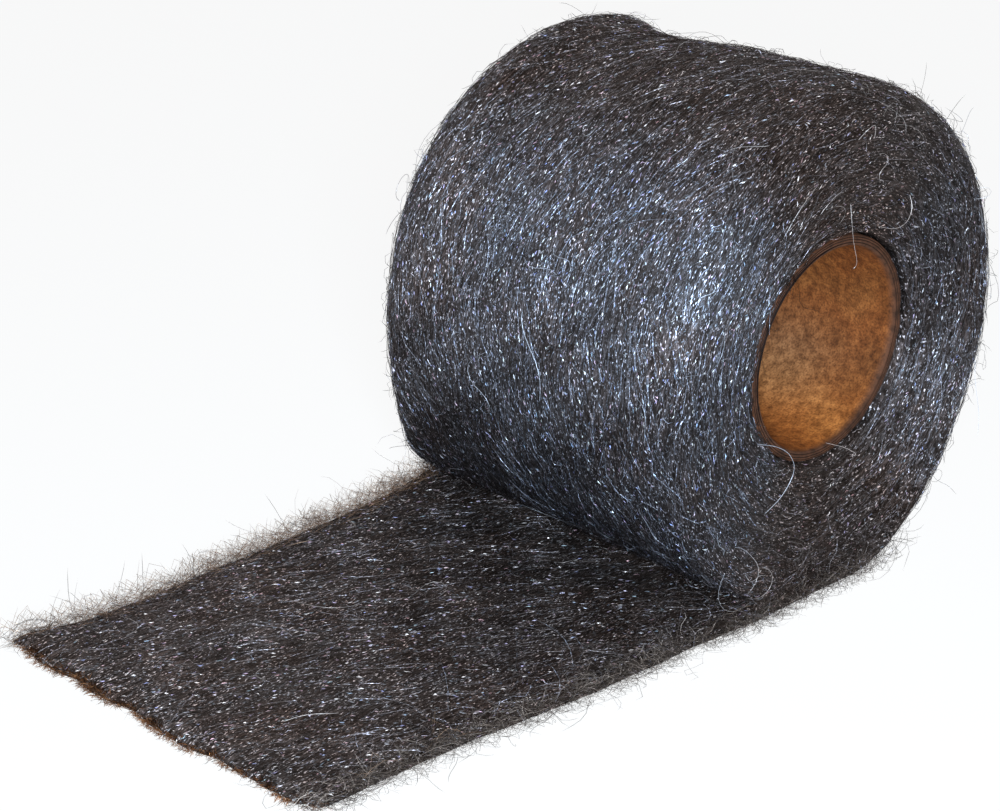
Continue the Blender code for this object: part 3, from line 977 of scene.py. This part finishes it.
def add_near_strands(material):
    """Single long strands at the near end, each through its own places."""
    rng = np.random.default_rng(STRAND_SEED)
    count = len(NEAR_STRANDS)
    paths = np.array([smooth_line(np.array(places)) for places in NEAR_STRANDS])
    outs = np.zeros_like(paths)
    outs[..., 1] = -1
    widths = rng.uniform(*STRAND_WIDTHS, count) * STRAND_WIDTH
    shades = rng.uniform(*STRAND_SHADE_RANGE, count)
    mesh = thread_mesh("near_strands", rng, paths, outs, widths, shades)
    link_piece("near_strands", mesh, material)


def add_wool():
    """The wool's body, the fibres laid over it and the threads that stand off it."""
    body = body_mesh()
    paint_body(body)
    wool_body = link_piece("wool_body", body, felt_material())
    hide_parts("steel_wool")
    surface = Surface(body)
    places = wool_places(surface)
    steels = {name: fibre_material(name, *look) for name, look in STEELS.items()}
    for name, (seed, count, place, look, steel) in LAID.items():
        lay_fibres(name, surface, seed, count, places[place], look, steels[steel])
    for name, (seed, count, place, look, steel) in LOOSE.items():
        add_loose(name, surface, seed, count, places[place], look, steels[steel])
    add_near_strands(steels["steel_strand"])


# The core tube


def tube_profile(angle):
    """The closed outline of the tube's wall at an angle, as places (radius, y, depth in a joint).

    It goes over the outer side, the near rim with its joints, the inner side and the far rim.
    """
    inner = TUBE_RADIUS - TUBE_WALL
    near, far = TUBE_LOW.y, TUBE_HIGH.y
    off = math.remainder(angle - SPLIT_ANGLE, 2 * math.pi) / SPLIT_SPREAD
    opening = math.exp(-(off**4)) if abs(off) < 2 else 0.0
    fray = noise.noise(Vector((math.cos(angle), math.sin(angle), 0.0)) * FRAY_SCALE) * FRAY_HEIGHT
    outline = [(TUBE_RADIUS, far - TUBE_END_ROUND, 0.0), (TUBE_RADIUS, near + TUBE_END_ROUND, 0.0)]
    outline.append((TUBE_RADIUS - TUBE_END_ROUND / 2, near + TUBE_END_ROUND / 5 + fray, 0.0))
    for number, share in enumerate(PLY_JOINTS):
        split = opening if number == SPLIT_JOINT else SPLIT_SPILL * opening
        width = JOINT_WIDTH + (SPLIT_WIDTH - JOINT_WIDTH) * split
        depth = JOINT_DEPTH + (SPLIT_DEPTH - JOINT_DEPTH) * split
        middle = TUBE_RADIUS - share * TUBE_WALL
        lip = near + fray * (1 - share)
        outline += [(middle + width / 2, lip, 0.0), (middle + width * JOINT_FOOT, lip + JOINT_LIP, 1.0)]
        outline += [(middle, lip + depth, 1.0)]
        outline += [(middle - width * JOINT_FOOT, lip + JOINT_LIP, 1.0), (middle - width / 2, lip, 0.0)]
    for row in range(WALL_ROWS + 1):
        y = near + TUBE_END_ROUND / 2 + (far - near - TUBE_END_ROUND) * row / WALL_ROWS
        place = Vector((math.cos(angle) * inner, y, math.sin(angle) * inner))
        rough = noise.noise(place * WALL_LUMPS) + WALL_GRIT_SHARE * noise.noise(place * WALL_GRIT)
        turn = (angle / (2 * math.pi) + y / SEAM_PITCH) % 1.0
        outline.append((inner - WALL_ROUGH * rough - SEAM_STEP * turn, y, 0.0))
    outline.append((TUBE_RADIUS - TUBE_END_ROUND / 2, far, 0.0))
    return outline


def paint_tube(mesh, turn, along, joint):
    """Layers for the board: its stained ends, its joints for the painted shade in them, the painted light
    and shade by height and the patch of painted sheen.
    """
    from_end = np.minimum(along - TUBE_LOW.y, TUBE_HIGH.y - along)
    write_numbers(mesh, "stain", 1 - ease(from_end, STAIN_STARTS, STAIN_REACH))
    # The joints, for the painted shade deep in them
    write_numbers(mesh, "joint", joint)
    # Painted light and shade by the height in the tube
    write_numbers(mesh, "painted_light_by_height", (0.5 + 0.5 * np.sin(turn - TUBE_PAINTED_LIGHT_TILT)) * np.ones_like(along))
    # Where the patch of painted sheen lies on the inner wall
    aside = np.arctan2(np.sin(turn - SHEEN_PATCH_ANGLE), np.cos(turn - SHEEN_PATCH_ANGLE)) / SHEEN_PATCH_SPREAD
    write_numbers(mesh, "painted_sheen", np.exp(-(aside**2) - ((along - SHEEN_PATCH_DEPTH) / SHEEN_PATCH_LENGTH) ** 2))


def add_tube():
    """The cardboard tube with its plies, one of them split open along part of the near rim."""
    angles = [2 * math.pi * i / TUBE_COLUMNS for i in range(TUBE_COLUMNS)]
    outlines = np.array([tube_profile(angle) for angle in angles])
    radius, along, joint = outlines[..., 0], outlines[..., 1], outlines[..., 2]
    turn = np.array(angles)[:, None]
    points = np.stack([radius * np.cos(turn), along, AXIS_HEIGHT + radius * np.sin(turn)], axis=-1)
    points = points.reshape(-1, 3)
    push_mouth(points, 0.0)
    stations = outlines.shape[1]
    faces = []
    for i in range(TUBE_COLUMNS):
        j = (i + 1) % TUBE_COLUMNS
        for k in range(stations):
            m = (k + 1) % stations
            faces.append((i * stations + k, j * stations + k, j * stations + m, i * stations + m))
    mesh = bpy.data.meshes.new("tube_board")
    mesh.from_pydata(points.tolist(), [], faces)
    mesh.shade_smooth()
    paint_tube(mesh, turn, along, joint)
    tube = link_piece("tube_board", mesh, board_material())
    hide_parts("core_tube")


# The stage


def add_camera():
    """The camera at the photograph's place."""
    back = Vector(
        (
            math.sin(VIEW_AZIMUTH) * math.cos(VIEW_ELEVATION),
            -math.cos(VIEW_AZIMUTH) * math.cos(VIEW_ELEVATION),
            math.sin(VIEW_ELEVATION),
        )
    )
    right = Vector((0, 0, 1)).cross(back).normalized()
    up = back.cross(right)
    tilted_right = right * math.cos(VIEW_ROLL) + up * math.sin(VIEW_ROLL)
    tilted_up = up * math.cos(VIEW_ROLL) - right * math.sin(VIEW_ROLL)
    data = bpy.data.cameras.new("camera")
    data.lens = LENS
    data.sensor_width = SENSOR_WIDTH
    data.sensor_fit = "HORIZONTAL"
    camera = bpy.data.objects.new("camera", data)
    bpy.context.scene.collection.objects.link(camera)
    turn = Matrix((tilted_right, tilted_up, back)).transposed().to_4x4()
    camera.matrix_world = Matrix.Translation(VIEW_TARGET + back * VIEW_DISTANCE) @ turn
    bpy.context.scene.camera = camera


def add_lamp(name, place, size, power, colour):
    """A square lamp that shines on the roll."""
    data = bpy.data.lights.new(name, "AREA")
    data.size = size
    data.energy = power
    data.color = colour
    lamp = bpy.data.objects.new(name, data)
    bpy.context.scene.collection.objects.link(lamp)
    lamp.location = place
    lamp.rotation_euler = (LAMP_TARGET - place).to_track_quat("-Z", "Y").to_euler()


def add_floor():
    """A wide floor that the roll lies on."""
    low, high = -FLOOR_REACH, FLOOR_REACH
    mesh = bpy.data.meshes.new("floor")
    mesh.from_pydata([(low, low, 0), (high, low, 0), (high, high, 0), (low, high, 0)], [], [(0, 1, 2, 3)])
    mesh.materials.append(floor_material())
    floor = bpy.data.objects.new("floor", mesh)
    bpy.context.scene.collection.objects.link(floor)


def add_world():
    """Faint light from all round, which the camera and reflections see as plain white."""
    world = bpy.data.worlds.new("world")
    bpy.context.scene.world = world
    world.use_nodes = True
    tree = world.node_tree
    light = tree.nodes["Background"]
    light.inputs["Color"].default_value = (*SKY_COLOUR, 1.0)
    light.inputs["Strength"].default_value = SKY_STRENGTH
    white = add_node(tree, "ShaderNodeBackground")
    white.inputs["Color"].default_value = (1.0, 1.0, 1.0, 1.0)
    white.inputs["Strength"].default_value = 1.0
    dim, plain = light.outputs["Background"], white.outputs["Background"]
    link_mix(tree, white_rays(tree), dim, plain, "World Output")


add_camera()
add_floor()
add_world()
add_lamp("key", KEY_PLACE, KEY_SIZE, KEY_POWER, KEY_COLOUR)
add_lamp("fill", FILL_PLACE, FILL_SIZE, FILL_POWER, FILL_COLOUR)
bpy.context.scene.view_settings.view_transform = "Standard"

add_wool()
add_tube()
